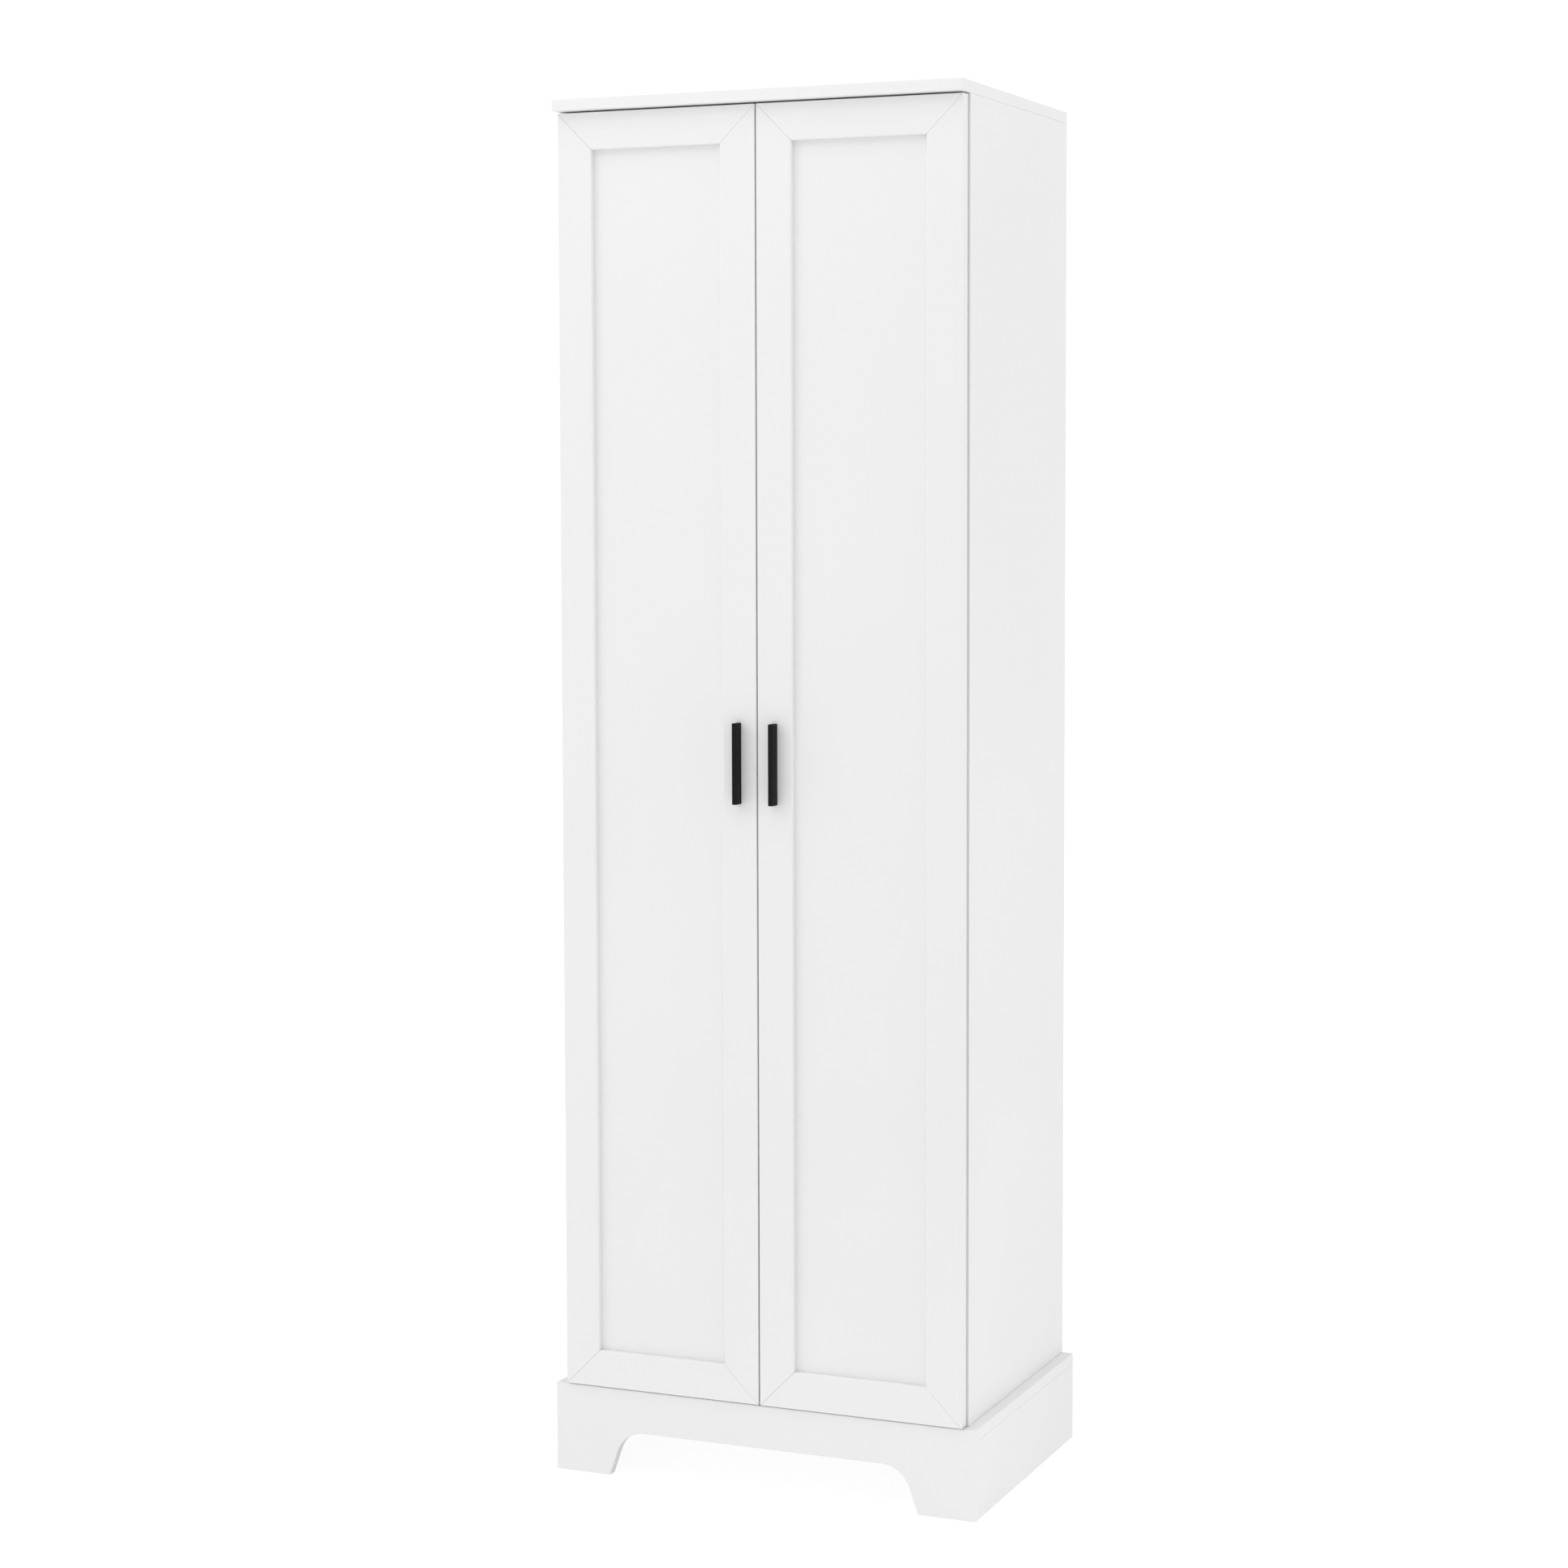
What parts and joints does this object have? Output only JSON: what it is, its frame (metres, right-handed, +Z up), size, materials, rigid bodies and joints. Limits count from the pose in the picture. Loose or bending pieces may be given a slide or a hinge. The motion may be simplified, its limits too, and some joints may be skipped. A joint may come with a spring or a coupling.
{
  "type": "pantry cabinet",
  "caption": "Tall white two-door pantry cabinet with recessed-panel doors, black bar handles, inner shelves and a flared plinth with an arched front cut-out.",
  "frame": {"origin": "on the floor, under the centre of the overall box", "axes": "+Z up, +X to the right of someone facing the doors, doors towards -Y"},
  "size_m": [0.59, 0.42, 1.8],
  "materials": {
    "white_board": "smooth satin white foil on fibreboard",
    "back_board": "thin hardboard, white lacquered inside and brown outside",
    "black_metal": "fine matt black powder coat",
    "nickel": "nickel-plated pressed steel",
    "zinc": "bright zinc plating",
    "beech": "plain fluted beech",
    "white_plastic": "plain moulded plastic",
    "clear_plastic": "soft clear button"
  },
  "bodies": {
    "carcass": {"top_panel": "white_board", "left_side_panel": "white_board", "right_side_panel": "white_board", "bottom_deck": "white_board", "plinth_front_board": "white_board", "left_plinth_skirt": "white_board", "right_plinth_skirt": "white_board", "plinth_back_rail": "white_board", "plinth_corner_blocks": "white_plastic", "back_panel_upper": "back_board", "back_panel_lower": "back_board", "back_joint_strip": "white_plastic", "wall_rail": "white_board", "fixed_shelf": "white_board", "adjustable_shelf_1": "white_board", "adjustable_shelf_2": "white_board", "adjustable_shelf_3": "white_board", "adjustable_shelf_4": "white_board", "shelf_pins": "nickel", "cam_locks": "zinc", "cam_bolts": "zinc", "dowels": "beech", "plinth_screws": "zinc", "back_nails": "zinc", "hinge_plates": "nickel", "hinge_plate_screws": "zinc", "hinge_arms": "nickel", "hinge_arm_screws": "zinc"},
    "left_door": {"left_hinge_stile": "white_board", "left_meeting_stile": "white_board", "left_top_rail": "white_board", "left_bottom_rail": "white_board", "left_door_panel": "white_board", "left_handle": "black_metal", "left_handle_screws": "zinc", "left_hinge_cups": "nickel", "left_hinge_pins": "zinc", "left_cup_screws": "zinc", "left_door_bumper": "clear_plastic"},
    "right_door": {"right_hinge_stile": "white_board", "right_meeting_stile": "white_board", "right_top_rail": "white_board", "right_bottom_rail": "white_board", "right_door_panel": "white_board", "right_handle": "black_metal", "right_handle_screws": "zinc", "right_hinge_cups": "nickel", "right_hinge_pins": "zinc", "right_cup_screws": "zinc", "right_door_bumper": "clear_plastic"}
  },
  "joints": [
    {"name": "left_door_hinge", "type": "hinge", "parent": "carcass", "child": "left_door", "pos_m": [-0.27, -0.1856, 0.951], "axis": [0, 0, -1], "range_deg": [0, 105]},
    {"name": "right_door_hinge", "type": "hinge", "parent": "carcass", "child": "right_door", "pos_m": [0.27, -0.1856, 0.951], "axis": [0, 0, 1], "range_deg": [0, 105]}
  ]
}
